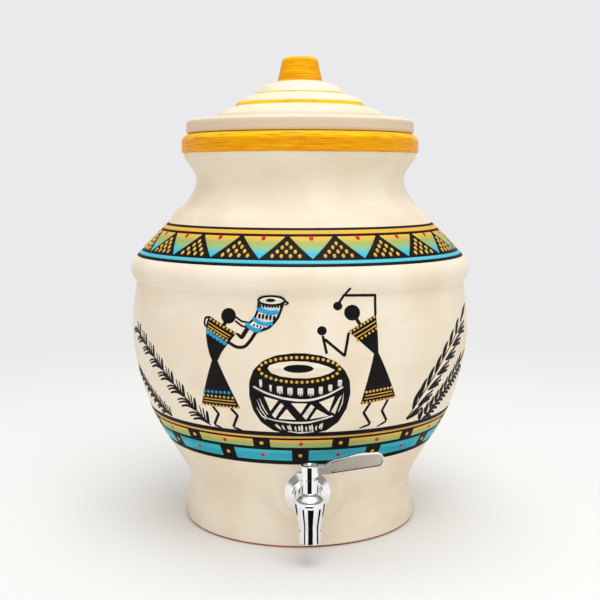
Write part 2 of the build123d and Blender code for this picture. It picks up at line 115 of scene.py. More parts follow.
CREAM = tint(244, 232, 211)
CREAM_SHADE = tint(237, 221, 195)
CREAM_CHALK = tint(249, 241, 226)
# A tone deeper: painted shade on the lid's upright faces
CREAM_IN_PAINTED_SHADE = tint(221, 201, 173)
BARE_CLAY = tint(186, 104, 66)
BARE_CLAY_DARK = tint(150, 78, 48)
GOLD = tint(238, 160, 0)
# Paler gold for the brush lines, and for the painted highlight where gold faces up
GOLD_STREAK_AND_HIGHLIGHT = tint(255, 200, 22)
GOLD_DARK = tint(210, 124, 0)
LINE_GOLD = tint(232, 186, 104)
LINE_GOLD_DARK = tint(206, 148, 66)
BLACK = tint(9, 8, 8)
BLACK_WORN = tint(23, 20, 19)
STRIPE_YELLOW = tint(240, 186, 56)
STRIPE_AMBER = tint(228, 178, 72)
LEAF_GREEN = tint(146, 190, 128)
OLIVE_GREEN = tint(166, 178, 96)
SKY_BLUE = tint(56, 186, 214)
SKY_BLUE_PALE = tint(92, 202, 220)
TEAL = tint(56, 184, 202)
TEAL_DEEP = tint(28, 152, 172)
RED = tint(214, 28, 20)
RED_DARK = tint(160, 14, 12)
DROP_GOLD = tint(244, 198, 86)
DROP_AMBER = tint(214, 154, 46)
CHALK_WHITE = tint(248, 242, 230)
CHALK_GREY = tint(206, 200, 190)
HORN_BLUE = tint(10, 138, 200)
HORN_BLUE_PALE = tint(44, 176, 222)
CHROME = tint(248, 248, 249)
CHROME_DULL = tint(240, 240, 243)
LEVER_POLISHED = tint(246, 245, 243)
LEVER_SATIN = tint(204, 193, 182)
STEEL = tint(170, 172, 176)
STEEL_DULL = tint(146, 148, 152)
SILICONE = tint(214, 214, 208)
SILICONE_DULL = tint(196, 196, 190)
RUBBER = tint(36, 36, 38)
RUBBER_DULL = tint(52, 52, 54)
SEAT = tint(232, 230, 224)
SEAT_DULL = tint(214, 212, 206)
PAPER = tint(238, 237, 236)
PAPER_PALE = tint(242, 241, 240)
# Black for sheets that only polish sees, standing in for shade that it mirrors
REFLECTED_SHADE_BLACK = tint(10, 10, 11)
REFLECTED_SHADE_MOTTLE = tint(18, 18, 19)
BACKDROP = tint(234, 234, 236)
BACKDROP_IN_GLOSS = tint(252, 252, 253)
CEILING_IN_GLOSS = tint(150, 144, 136)


# Shader helpers

def node_of(tree, kind, inputs=None, **settings):
    """One shader node with its settings made and its inputs linked or set."""
    node = tree.nodes.new(kind)
    for name, value in settings.items():
        setattr(node, name, value)
    for key, value in (inputs or {}).items():
        if isinstance(value, bpy.types.NodeSocket):
            tree.links.new(value, node.inputs[key])
        else:
            node.inputs[key].default_value = value
    return node


def math_of(tree, operation, *values):
    """A Math node's result."""
    return node_of(tree, "ShaderNodeMath", dict(enumerate(values)), operation=operation).outputs[0]


def vector_of(tree, operation, *values):
    """A Vector Math node's outputs: the first is a vector, and the one called Value is a number."""
    return node_of(tree, "ShaderNodeVectorMath", dict(enumerate(values)), operation=operation).outputs


def blend_of(tree, share, first, second):
    """A colour mixed from two by a share."""
    return node_of(tree, "ShaderNodeMix", {0: share, 6: first, 7: second}, data_type="RGBA").outputs[2]


def ramp_of(tree, share, low, high):
    """A share run smoothly from 0 to 1 between two values."""
    ends = {0: share, 1: low, 2: high}
    return node_of(tree, "ShaderNodeMapRange", ends, interpolation_type="SMOOTHSTEP").outputs[0]


def noise_of(tree, place, scale, detail=2.0):
    """Plain noise over a place."""
    return node_of(tree, "ShaderNodeTexNoise", {"Vector": place, "Scale": scale, "Detail": detail}).outputs[0]


def place_of(tree):
    """A point's own place on the piece."""
    return node_of(tree, "ShaderNodeTexCoord").outputs["Object"]


def height_of(tree, vector):
    """How far up a vector reaches."""
    return node_of(tree, "ShaderNodeSeparateXYZ", {0: vector}).outputs[2]


def dent(tree, shader, height, strength, distance):
    """Gives a shader the small relief of a height."""
    bump = node_of(tree, "ShaderNodeBump", {"Height": height, "Strength": strength, "Distance": distance})
    tree.links.new(bump.outputs[0], shader.inputs["Normal"])


def streak_group():
    """Brush work laid round the jar: noise stretched level, fast up the wall and slow round it."""
    group = bpy.data.node_groups.new("brush_streaks", "ShaderNodeTree")
    face = group.interface
    for name, start in (("Fineness", 260.0), ("Turns", 9.0), ("Depth", 0.2)):
        face.new_socket(name, in_out="INPUT", socket_type="NodeSocketFloat").default_value = start
    for name, kind in (("Streaks", "Float"), ("Patches", "Float"), ("Normal", "Vector")):
        face.new_socket(name, in_out="OUTPUT", socket_type="NodeSocket" + kind)
    given = group.nodes.new("NodeGroupInput").outputs
    place = place_of(group)
    spread = {0: given["Turns"], 1: given["Turns"], 2: given["Fineness"]}
    stretch = node_of(group, "ShaderNodeCombineXYZ", spread).outputs[0]
    level = vector_of(group, "MULTIPLY", place, stretch)[0]
    brushed = {"Vector": level, "Scale": 1.0, "Detail": 6.0, "Roughness": 0.62}
    streaks = node_of(group, "ShaderNodeTexNoise", brushed).outputs[0]
    patches = noise_of(group, place, 22.0, 3.0)
    height = math_of(group, "MULTIPLY_ADD", noise_of(group, place, 1400.0), 0.25, streaks)
    relief = {"Height": height, "Strength": given["Depth"], "Distance": 0.0006}
    bump = node_of(group, "ShaderNodeBump", relief)
    out = group.nodes.new("NodeGroupOutput").inputs
    for name, value in (("Streaks", streaks), ("Patches", patches), ("Normal", bump.outputs[0])):
        group.links.new(value, out[name])
    return group


BRUSH = streak_group()


def new_material(name, roughness=0.5, metallic=0.0, specular=0.5):
    """A material with one Principled shader, and its tree and shader."""
    material = bpy.data.materials.new(name)
    material.use_nodes = True
    tree = material.node_tree
    shader = tree.nodes["Principled BSDF"]
    shader.inputs["Roughness"].default_value = roughness
    shader.inputs["Metallic"].default_value = metallic
    shader.inputs["Specular IOR Level"].default_value = specular
    return material, tree, shader


def brush_of(tree, fineness, depth, turns=9.0):
    """The brush-work group, set for one paint: more turns make shorter streaks."""
    node = tree.nodes.new("ShaderNodeGroup")
    node.node_tree = BRUSH
    node.inputs["Fineness"].default_value = fineness
    node.inputs["Depth"].default_value = depth
    node.inputs["Turns"].default_value = turns
    return node.outputs


def paint(name, light, dark, roughness=0.42, fineness=240.0, depth=0.15, specular=0.25):
    """A brushed paint that wavers between two shades."""
    material, tree, shader = new_material(name, roughness, specular=specular)
    brush = brush_of(tree, fineness, depth)
    share = ramp_of(tree, brush["Streaks"], 0.34, 0.68)
    tree.links.new(blend_of(tree, share, light, dark), shader.inputs["Base Color"])
    tree.links.new(brush["Normal"], shader.inputs["Normal"])
    return material


def graded_paint(name, low, high, stops):
    """A brushed paint graded by height between two heights in millimetres, through (share, colour) stops from
    the high one down to the low one."""
    material, tree, shader = new_material(name, 0.4, specular=0.25)
    brush = brush_of(tree, 200.0, 0.12)
    up = height_of(tree, place_of(tree))
    down = node_of(tree, "ShaderNodeMapRange", {0: up, 1: high * MM, 2: low * MM}).outputs[0]
    waver = math_of(tree, "MULTIPLY_ADD", brush["Streaks"], 0.16, -0.08)
    ramp = node_of(tree, "ShaderNodeValToRGB", {0: math_of(tree, "ADD", down, waver)})
    elements = ramp.color_ramp.elements
    elements[0].position, elements[0].color = stops[0]
    elements[1].position, elements[1].color = stops[-1]
    for share, colour in stops[1:-1]:
        elements.new(share).color = colour
    tree.links.new(ramp.outputs[0], shader.inputs["Base Color"])
    tree.links.new(brush["Normal"], shader.inputs["Normal"])
    return material


def outward_of(tree, coordinates):
    """How squarely a face looks away from the jar's axis: its normal's share along the level way out."""
    level = vector_of(tree, "MULTIPLY", coordinates["Object"], (1, 1, 0))[0]
    out = vector_of(tree, "NORMALIZE", level)[0]
    return vector_of(tree, "DOT_PRODUCT", out, coordinates["Normal"])["Value"]


def cream_of(tree, brush, height, upward, painted_shade_below):
    """Cream in two patchy shades, chalky along its streaks, and painted shade: a tone deeper on upright faces
    below a height, which light from above reaches less."""
    cream = blend_of(tree, ramp_of(tree, brush["Patches"], 0.35, 0.7), CREAM, CREAM_SHADE)
    chalk = math_of(tree, "MULTIPLY", ramp_of(tree, brush["Streaks"], 0.5, 0.8), 0.45)
    cream = blend_of(tree, chalk, cream, CREAM_CHALK)
    # Painted shade: upright faces below the height are a tone deeper
    upright = ramp_of(tree, upward, 0.8, 0.3)
    painted_shade = math_of(tree, "MULTIPLY", upright, ramp_of(tree, height, painted_shade_below + 0.001, painted_shade_below))
    return blend_of(tree, painted_shade, cream, CREAM_IN_PAINTED_SHADE)


def gilding_of(tree, lines, upward):
    """Gold that is dark between its fine brush lines and paler along them, with a painted highlight where it
    faces up.
    """
    gold = blend_of(tree, ramp_of(tree, lines["Streaks"], 0.3, 0.5), GOLD_DARK, GOLD)
    # Painted highlight: gold that faces up is paler, as under light from above
    streaks_and_highlight = math_of(tree, "MULTIPLY_ADD", ramp_of(tree, upward, 0.1, 0.7), 0.25, lines["Streaks"])
    return blend_of(tree, ramp_of(tree, streaks_and_highlight, 0.52, 0.74), gold, GOLD_STREAK_AND_HIGHLIGHT)


def within(tree, height, spans, edge=0.0003):
    """1 where a height lies in one of the spans, falling to 0 over an edge beyond it."""
    share = 0.0
    for low, high in spans:
        above = ramp_of(tree, height, low, low + edge)
        below = ramp_of(tree, height, high + edge, high)
        share = math_of(tree, "MAXIMUM", share, math_of(tree, "MULTIPLY", above, below))
    return share


def clay_material(name, gold_spans, bare_below, painted_shade_below=0.0):
    """Cream paint, gold where the height lies in a span, terracotta brown along the foot's lowest edge, and
    bare clay on the inner faces below a height."""
    material, tree, shader = new_material(name, 0.55, specular=0.1)
    brush = brush_of(tree, 170.0, 0.2)
    lines = brush_of(tree, 1150.0, 0.3, 46.0)
    coordinates = node_of(tree, "ShaderNodeTexCoord").outputs
    height = height_of(tree, coordinates["Object"])
    upward = height_of(tree, coordinates["Normal"])
    cream = cream_of(tree, brush, height, upward, painted_shade_below)
    gold = gilding_of(tree, lines, upward)
    clay = blend_of(tree, ramp_of(tree, brush["Patches"], 0.3, 0.7), BARE_CLAY, BARE_CLAY_DARK)
    wavering = math_of(tree, "MULTIPLY_ADD", brush["Patches"], 0.0008, height)
    gilded = within(tree, wavering, gold_spans)
    inner = ramp_of(tree, outward_of(tree, coordinates), 0.04, -0.02)
    inner = math_of(tree, "MULTIPLY", inner, ramp_of(tree, height, bare_below, bare_below - 0.0004))
    bare = math_of(tree, "MAXIMUM", inner, ramp_of(tree, height, FOOT_EDGE, FOOT_EDGE - 0.0006))
    colour = blend_of(tree, bare, blend_of(tree, gilded, cream, gold), clay)
    sheen = math_of(tree, "MULTIPLY_ADD", gilded, -0.15, 0.55)
    relief = {0: gilded, 4: brush["Normal"], 5: lines["Normal"]}
    normal = node_of(tree, "ShaderNodeMix", relief, data_type="VECTOR").outputs[1]
    tree.links.new(colour, shader.inputs["Base Color"])
    tree.links.new(sheen, shader.inputs["Roughness"])
    tree.links.new(normal, shader.inputs["Normal"])
    return material


def metal(name, colour, dull, roughness, grain, depth):
    """Metal with a faint patchy wear in its colour and roughness and a fine grain."""
    material, tree, shader = new_material(name, roughness, metallic=1.0)
    place = place_of(tree)
    patches = noise_of(tree, place, 120.0, 3.0)
    rough = math_of(tree, "MULTIPLY_ADD", patches, roughness * 0.6, roughness * 0.7)
    tree.links.new(blend_of(tree, patches, colour, dull), shader.inputs["Base Color"])
    tree.links.new(rough, shader.inputs["Roughness"])
    dent(tree, shader, noise_of(tree, place, grain), depth, 0.0002)
    return material


def lever_metal(name):
    """Satin metal that is polished within the hub's reach of the stem's axis, and beyond the lever's neck
    where it stands further forward than the rim."""
    material, tree, shader = new_material(name, metallic=1.0)
    place = place_of(tree)
    parts = node_of(tree, "ShaderNodeSeparateXYZ", {0: place}).outputs
    level = vector_of(tree, "MULTIPLY", place, (1, 1, 0))[0]
    away = vector_of(tree, "DISTANCE", level, STEM)["Value"]
    near = ramp_of(tree, away, HUB_REACH, HUB_REACH - 0.0001)
    proud = ramp_of(tree, parts[1], LEVER_RIM, LEVER_RIM - 0.00005)
    proud = math_of(tree, "MULTIPLY", proud, ramp_of(tree, parts[0], LEVER_NECK, LEVER_NECK + 0.0006))
    polish = math_of(tree, "MAXIMUM", near, proud)
    grain = noise_of(tree, place, 900.0, 3.0)
    dull = math_of(tree, "MULTIPLY_ADD", grain, 0.16, 0.22)
    rough = node_of(tree, "ShaderNodeMix", {0: polish, 2: dull, 3: 0.05}).outputs[0]
    tree.links.new(blend_of(tree, polish, LEVER_SATIN, LEVER_POLISHED), shader.inputs["Base Color"])
    tree.links.new(rough, shader.inputs["Roughness"])
    dent(tree, shader, grain, 0.05, 0.0002)
    return material


def moulded(name, colour, dull, roughness):
    """Rubber or plastic, mottled and faintly pitted."""
    material, tree, shader = new_material(name, roughness)
    mottle = noise_of(tree, place_of(tree), 300.0, 4.0)
    tree.links.new(blend_of(tree, mottle, colour, dull), shader.inputs["Base Color"])
    dent(tree, shader, mottle, 0.2, 0.0003)
    return material


# The wall that the paint lies on

WALL_LOW, WALL_HIGH, WALL_COUNT = 0.066, 0.252, 620
WALL_SIDES = (101.3, 133.7, 171.1, 208.9, 251.3)
RAY_START = 0.3


def wall_profile(node, low, high, count, sides):
    """Heights, and at each the greatest outer radius met by level rays shot at the axis from several sides,
    given in degrees. A radius is a ray's start less the distance to what it meets."""
    wall = BVHTree.FromObject(node, bpy.context.evaluated_depsgraph_get())
    heights = np.linspace(low, high, count)
    radii = np.zeros(count)
    for side in np.radians(sides):
        out = Vector((np.sin(side), -np.cos(side), 0))
        starts = [out * RAY_START + Vector((0, 0, height)) for height in heights]
        radii = np.maximum(radii, [RAY_START - wall.ray_cast(start, -out)[3] for start in starts])
    return heights, radii


WALL_HEIGHT, WALL_RADIUS = wall_profile(nodes["jar"], WALL_LOW, WALL_HIGH, WALL_COUNT, WALL_SIDES)
WALL_LEAN = np.gradient(WALL_RADIUS, WALL_HEIGHT)


def laid(x, y, rise):
    """Points on the wall, for a place in the flat drawing and a rise in millimetres along the outward normal.
    The turn is x over the drawing's radius, and the normal leans by the slope of radius against height."""
    height = y * MM
    radius = np.interp(height, WALL_HEIGHT, WALL_RADIUS)
    lean = np.interp(height, WALL_HEIGHT, WALL_LEAN)
    lift = rise * MM / np.sqrt(1 + lean ** 2)
    turn = x / DRAWING_RADIUS
    out = radius + lift
    return np.stack((out * np.sin(turn), -out * np.cos(turn), height - lift * lean), axis=-1)


def add(name, data):
    """An object for the data, linked to the scene."""
    thing = bpy.data.objects.new(name, data)
    bpy.context.scene.collection.objects.link(thing)
    return thing


class Coat:
    """All the paint of one colour, gathered as grids and made into one mesh."""

    def __init__(self):
        self.points, self.faces, self.count = [], [], 0

    def lay(self, x, y, rise):
        """Adds a grid. Its quads run so that they face outward, whichever way the grid was drawn."""
        rows, columns = x.shape
        index = self.count + np.arange(rows * columns).reshape(rows, columns)
        quads = np.stack((index[:-1, :-1], index[:-1, 1:], index[1:, 1:], index[1:, :-1]), axis=-1)
        quads = quads.reshape(-1, 4)
        right, over = np.diff(x, axis=1)[:-1], np.diff(y, axis=1)[:-1]
        across = right * np.diff(y, axis=0)[:, :-1] - over * np.diff(x, axis=0)[:, :-1]
        if across.sum() < 0:
            quads = quads[:, ::-1]
        self.points.append(laid(x, y, rise).reshape(-1, 3))
        self.faces.append(quads)
        self.count += rows * columns

    def make(self, name, material):
        """Makes one mesh of the coat, its doubled points joined, and lets it ride on the jar."""
        mesh = bpy.data.meshes.new(name)
        mesh.from_pydata(np.concatenate(self.points).tolist(), [], np.concatenate(self.faces).tolist())
        work = bmesh.new()
        work.from_mesh(mesh)
        bmesh.ops.remove_doubles(work, verts=work.verts, dist=1e-6)
        bmesh.ops.dissolve_degenerate(work, edges=work.edges, dist=1e-7)
        work.to_mesh(mesh)
        work.free()
        mesh.polygons.foreach_set("use_smooth", np.ones(len(mesh.polygons), bool))
        mesh.materials.append(material)
        piece = add(name, mesh)
        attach(piece, "vessel")


# How far paint stands off the wall, and how far its rim dips into what it lies on, both in millimetres
PAINT = 0.22
DIP = 0.1

# Once round the jar, in the drawing
FULL_TURN = 2 * pi * DRAWING_RADIUS


def built_up(on, share, tall=PAINT):
    """How far paint stands off the wall: it lies on a number of coats, dips into them at its rim, where the
    share is 0, and stands its own thickness over them where the share is 1."""
    return PAINT * on - DIP + (tall + DIP) * share


def eased(count):
    """Shares from 0 to 1, set closer together towards both ends."""
    return (1 - np.cos(np.linspace(0, pi, count))) / 2


def shoulder(share, sharpness):
    """1 over the middle of a span from 0 to 1, falling to 0 at both ends along a rounded edge."""
    return np.sqrt(np.clip(1 - np.abs(2 * share - 1) ** sharpness, 0, 1))


def even(points, shares):
    """Points along a line through the given corners, at shares of its length."""
    points = np.asarray(points, float)
    along = np.concatenate(([0], np.cumsum(np.hypot(*np.diff(points, axis=0).T))))
    return np.stack([np.interp(shares * along[-1], along, points[:, axis]) for axis in (0, 1)], axis=-1)


def softened(points, reach):
    """A line through corners, cut into half-millimetre steps and averaged over a reach, so that it bends."""
    length = np.hypot(*np.diff(np.asarray(points, float), axis=0).T).sum()
    count = max(8, int(2 * length))
    line = even(points, np.linspace(0, 1, count + 1))
    half = min(int(reach * count / length / 2), count // 2)
    if half > 0:
        before, after = 2 * line[0] - line[half:0:-1], 2 * line[-1] - line[-2:-half - 2:-1]
        padded = np.concatenate((before, line, after))
        kernel = np.ones(2 * half + 1) / (2 * half + 1)
        line = np.stack([np.convolve(padded[:, axis], kernel, "valid") for axis in (0, 1)], axis=-1)
    return line


def hoop(coat, low, high, on=0):
    """A painted stripe all round the jar. Its points lie at even turns and at heights from the low to the
    high one, and its thickness falls at both edges to three quarters and then to nothing."""
    edge = min(0.3, (high - low) / 4)
    middle = np.linspace(low + edge, high - edge, max(2, int((high - low) / 0.8)))
    up = np.concatenate(([low, low + edge / 3], middle, [high - edge / 3, high]))
    full = np.concatenate(([0, 0.75], np.ones(len(middle)), [0.75, 0]))
    x, y = np.meshgrid(np.linspace(0, FULL_TURN, 361), up)
    coat.lay(x, y, np.broadcast_to(built_up(on, full)[:, None], x.shape))


def field(coat, left, right, on=0, rows=30, columns=14, sharpness=14):
    """Paint filled in between a left edge and a right edge, each a line of corners. A point lies at a share
    of both edges' lengths and at a share of the way across, and its thickness is one rounded shoulder times
    the other."""
    down, over = eased(rows), eased(columns)
    start, end = even(left, down), even(right, down)
    grid = start[:, None] + (end - start)[:, None] * over[None, :, None]
    full = shoulder(down, sharpness)[:, None] * shoulder(over, sharpness)[None]
    coat.lay(grid[..., 0], grid[..., 1], built_up(on, full))


STROKE_SECTION = np.array((-1, -0.93, -0.65, 0, 0.65, 0.93, 1))


def stroke(coat, points, width, on=0, start=1.0, end=1.0, reach=1.0, fullness=1.0):
    """A brush stroke along a line. A point lies off the line by a share of half the width, which is full at
    the middle, falls to a share of it at each end along a line raised to the power of its fullness, and
    closes in a quarter circle. The thickness falls to nothing at the edges."""
    line = softened(points, reach)
    gone = np.concatenate(([0], np.cumsum(np.hypot(*np.diff(line, axis=0).T))))
    body = np.interp(gone / gone[-1], (0, 0.5, 1), (start, 1.0, end)) ** fullness
    cap = np.clip(np.minimum(gone, gone[-1] - gone) / (width / 2), 0, 1)
    half = width / 2 * body * np.sqrt(1 - (1 - cap) ** 2)
    way = np.gradient(line, axis=0)
    way /= np.maximum(np.hypot(*way.T), 1e-9)[:, None]
    side = np.stack((-way[:, 1], way[:, 0]), axis=-1)
    grid = line[:, None] + side[:, None] * (half[:, None] * STROKE_SECTION)[..., None]
    full = np.sqrt(1 - STROKE_SECTION ** 4)[None] * np.clip(3 * cap, 0, 1)[:, None]
    coat.lay(grid[..., 0], grid[..., 1], built_up(on, full))


PATCH_RINGS = np.array((1, 0.97, 0.88, 0.7, 0.45, 0.2, 0))
DROP_RINGS = np.array((1, 0.8, 0.42, 0))


def spot(coat, centre, width, height, on=0, sharpness=12, turns=40, tall=PAINT, rings=PATCH_RINGS):
    """A round or oval patch. A ring's points lie off the centre by its share of the width times the cosine
    of a turn and of the height times its sine, and its thickness is the root of 1 less that share to the
    power of its sharpness."""
    angle = np.linspace(0, 2 * pi, turns + 1)
    x = centre[0] + width * rings[:, None] * np.cos(angle)
    y = centre[1] + height * rings[:, None] * np.sin(angle)
    full = np.sqrt(1 - rings ** sharpness)
    coat.lay(x, y, np.broadcast_to(built_up(on, full, tall)[:, None], x.shape))


def drops(coat, centres, radius, on=1, tall=0.6):
    """Small domes of thick paint: round spots of three rings of eight faces."""
    for centre in np.asarray(centres, float):
        spot(coat, centre, radius, radius, on, sharpness=2, turns=8, tall=tall, rings=DROP_RINGS)


def row(start, end, count):
    """Centres set evenly from one place to another."""
    return np.linspace(start, end, count)


def dabbed(coat, points, radius, on):
    """A ragged stripe: overlapping drops along a line, every other one a little to its side."""
    line = softened(points, 3)[::2]
    offset = np.where(np.arange(len(line)) % 2, 0.3, -0.35) * radius
    drops(coat, line + offset[:, None] * np.array((0.2, 1.0)), radius, on, tall=0.4)


black, gold, white = Coat(), Coat(), Coat()
red, drop_gold, horn_blue = Coat(), Coat(), Coat()
stripe_yellow, sky_blue, shoulder_cells = Coat(), Coat(), Coat()
upper_cells, teal_cells, cream = Coat(), Coat(), Coat()


def red_dot(x, y, width):
    """A low red spot on a coloured cell."""
    spot(red, (x, y), width, 1.7, on=2, sharpness=3, turns=12, tall=0.3)


# Shoulder band

SHOULDER_LOW, SHOULDER_HIGH = 221.3, 247.9
YELLOW_STRIPE, BLUE_STRIPE = (243.4, 246.1), (223.2, 225.5)
TRIANGLE_COUNT, FIRST_TRIANGLE_TURN = 21, 1.0
TRIANGLE_TOP, TRIANGLE_TIP = 241.8, 226.6
DROP_ROWS = ((236.9, (0,)), (234.3, (-0.5, 0.5)), (231.4, (-1, 0, 1)), (228.5, (-1.5, -0.5, 0.5, 1.5)))
DROP_GAP = 7.0

triangle_pitch = FULL_TURN / TRIANGLE_COUNT
half_top, half_tip = triangle_pitch * 0.465, 0.2
hoop(black, SHOULDER_LOW, SHOULDER_HIGH)
hoop(stripe_yellow, *YELLOW_STRIPE, on=1)
hoop(sky_blue, *BLUE_STRIPE, on=1)
for step in range(TRIANGLE_COUNT):
    tip = radians(FIRST_TRIANGLE_TURN) * DRAWING_RADIUS + step * triangle_pitch
    field(shoulder_cells, [(tip - half_top, TRIANGLE_TOP), (tip - half_tip, TRIANGLE_TIP)],
          [(tip + half_top, TRIANGLE_TOP), (tip + half_tip, TRIANGLE_TIP)], on=1, rows=22, columns=16)
    red_dot(tip, 240.4, 2.0)
    peak = tip + triangle_pitch / 2
    for height, places in DROP_ROWS:
        drops(drop_gold, [(peak + DROP_GAP * place, height) for place in places], 1.5, tall=0.75)


# Lower band

BORDER_LOW, BORDER_HIGH = 70.5, 99.0
GOLD_LINE = (94.1, 95.8)
CELL_COUNT, GAP_TURN = 13, 6.0
UPPER_ROW, UPPER_GRADE, FIRST_UPPER_GAP = (86.0, 92.5), (86.1, 92.6), -16.5
LOWER_ROW, FIRST_LOWER_GAP = (74.2, 83.6), -2.9

cell_pitch = FULL_TURN / CELL_COUNT
gap = radians(GAP_TURN) * DRAWING_RADIUS
hoop(black, BORDER_LOW, BORDER_HIGH)
hoop(gold, *GOLD_LINE, on=1)
for step in range(CELL_COUNT):
    for coat, first_gap, (low, high) in ((upper_cells, FIRST_UPPER_GAP, UPPER_ROW),
                                         (teal_cells, FIRST_LOWER_GAP, LOWER_ROW)):
        place = radians(first_gap) * DRAWING_RADIUS + step * cell_pitch
        start, end = place + gap / 2, place + cell_pitch - gap / 2
        middle = (low + high) / 2
        field(coat, [(start, high), (start, low)], [(end, high), (end, low)], on=1, rows=12, columns=34,
              sharpness=30)
        red_dot((start + end) / 2, middle, 1.9)
        spot(drop_gold, (place, middle), 1.7, 1.5, on=1, sharpness=2.5, turns=14, tall=0.6)


# The figure that blows the horn

# Shoulder loop, chest, skirt, head and neck
stroke(black, [(-74.3, 184), (-77.8, 183), (-78.2, 178.6), (-75.6, 176.2)], 1.7, reach=3)
field(black, [(-74.3, 184.6), (-76.4, 180), (-76.5, 170), (-75.4, 163), (-73.8, 156.6), (-71.7, 151.6)],
      [(-74.1, 184.6), (-52, 173.6), (-58.6, 165.4), (-63.8, 158.4), (-67.4, 151.6)], rows=40)
field(black, [(-71.7, 152.8), (-86.4, 116.3)], [(-67.4, 152.8), (-52.4, 116.4)], rows=40, columns=24)
spot(black, (-58.9, 185.5), 5.9, 5.7)
stroke(black, [(-60.5, 181.5), (-62.8, 177.4)], 3.0)

# Arms, and the horn's two pipes
stroke(black, [(-52.6, 173.6), (-48.2, 170.4), (-43.4, 178.6)], 3.3, start=0.5)
stroke(black, [(-59, 167), (-52.4, 163.2), (-46.4, 163.4), (-42.2, 168), (-37.6, 175.6)], 2.5, reach=6)
stroke(black, [(-53.8, 185.4), (-48.8, 182.2), (-43.6, 181.4)], 1.5)
stroke(black, [(-53.8, 182.4), (-48.4, 178.8), (-43.6, 177.8)], 1.5)

# Legs
for hip, knee, ankle, toe in (((-76.5, 116.6), (-71.9, 110.4), (-78.2, 100.8), (-71.4, 99.2)),
                              ((-60.9, 116.6), (-55.6, 110.6), (-61, 100.6), (-53.8, 99.0))):
    stroke(black, [hip, knee, ankle], 2.3)
    stroke(black, [ankle, toe], 1.8, end=0.4)

# Beads and cords across the chest and along the hem
drops(drop_gold, row((-72.8, 182.4), (-53.8, 173.4), 8), 1.0)
stroke(gold, [(-75.0, 180.2), (-56.2, 170.9)], 0.8, on=1)
stroke(gold, [(-75.2, 177.8), (-58.0, 169.4)], 0.8, on=1)
drops(drop_gold, row((-74.4, 175.4), (-59.6, 168.0), 7), 0.95)
drops(horn_blue, row((-74.8, 173.0), (-61.2, 165.8), 6), 1.8)
drops(horn_blue, row((-81.0, 127.8), (-60.2, 128.4), 7), 1.25)
drops(drop_gold, row((-82.2, 124.6), (-57.6, 124.6), 8), 1.05)
stroke(gold, [(-83.0, 122.1), (-56.4, 122.1)], 0.8, on=1)
stroke(gold, [(-83.7, 119.8), (-55.4, 119.8)], 0.8, on=1)
drops(drop_gold, row((-84.4, 117.2), (-54.4, 117), 11), 0.95)


# The horn

horn_left = [(-36.6, 196.4), (-37, 190), (-39.6, 183.8), (-45.4, 179.2)]
horn_right = [(-18.6, 196.2), (-22.6, 185.4), (-28.6, 178.2), (-38, 174.6)]
bell = np.linspace(0, 2 * pi, 40)

# Body, mouth and outlines
field(white, horn_left, horn_right, rows=30)
spot(white, (-27.4, 197.4), 9.4, 3.3, on=1)
stroke(black, horn_left, 1.7, on=1, reach=6)
stroke(black, horn_right, 2.2, on=1, start=0.7, end=0.7, reach=6)
stroke(black, np.stack((-27.4 + 9.4 * np.cos(bell), 197.4 + 3.3 * np.sin(bell)), -1), 1.7, on=2)
stroke(black, [(-18.6, 198), (-15.4, 195.6), (-18.2, 194.2)], 1.4, on=1, end=0.5)
spot(black, (-28, 197.6), 3.5, 1.3, on=2)

# Rows of short bars with ragged blue stripes between them
for start in row((-35.2, 194.6), (-20.6, 194.6), 8):
    stroke(black, [start, start + (0.1, -2.6)], 1.5, on=1)
dabbed(horn_blue, [(-36.4, 191.6), (-34.2, 190.2), (-28, 188.6), (-22.4, 189.4)], 1.5, on=1)
for start in row((-35.4, 188.2), (-25.0, 187.0), 5):
    stroke(black, [start, start + (-0.6, -4.0)], 1.9, on=1, end=0.7)
dabbed(horn_blue, [(-39.8, 184.4), (-36.4, 181.8), (-31.6, 180.6), (-26.8, 181.2)], 1.35, on=1)
for start in row((-39.2, 180.8), (-32.0, 178.8), 4):
    stroke(black, [start, start + (-0.4, -2.0)], 1.4, on=1)
dabbed(horn_blue, [(-44.6, 180.6), (-42, 177.8), (-37.8, 176.2), (-34.6, 176.4)], 1.4, on=1)


# The drum

drum_left = [(-12, 160.2), (-24, 158.4), (-33.6, 154), (-40.4, 147), (-43.8, 138), (-44.6, 127), (-42.6, 116),
             (-37, 106.4), (-28, 100.2), (-14, 97.2)]
drum_right = [(-4, 160.2), (8, 158.2), (18, 153.6), (24.6, 147), (28.6, 139), (29.8, 129), (28, 117.6),
              (22.4, 106.8), (13.4, 100.2), (-2, 97.2)]
skin_top = [(-29.8, 148.6), (-28.6, 151.1), (-22, 153.4), (-13, 154.5), (-3, 154.2), (6, 152.5),
            (12, 150.3), (17.4, 147.5)]
skin_low = [(-29.8, 148.6), (-27.4, 145.4), (-21, 143), (-12, 141.8), (-2, 141.6), (7, 142.8),
            (13, 144.9), (17.4, 147.5)]
brim_turn = np.linspace(0, 2 * pi, 121)
brim = np.stack((-7.6 + 28.2 * np.cos(brim_turn), 147.9 + 9.2 * np.sin(brim_turn)), -1)

# Shell, skin and the beads round its brim
field(black, drum_left, drum_right, rows=60, columns=40, sharpness=30)
field(cream, skin_top, skin_low, on=1, rows=50, columns=20, sharpness=20)
spot(black, (-8.2, 148.9), 10.6, 3.1, on=2)
drops(drop_gold, even(brim, np.linspace(0, 1, 35)[:-1]), 1.25)

# Hoops round the shell
stroke(white, [(-41, 134.8), (-31.9, 130), (-19.8, 126.3), (-7.7, 124.6), (1.8, 125.1), (13, 128.6),
               (24, 134.6)], 2.0, on=1, start=0.7, end=0.6, reach=8)
stroke(white, [(-36.4, 111.8), (-26.9, 108.6), (-12.3, 107.0), (-1.6, 107.1), (8, 109.2), (17.8, 112.2)],
       1.6, on=1, start=0.5, end=0.8, reach=8)

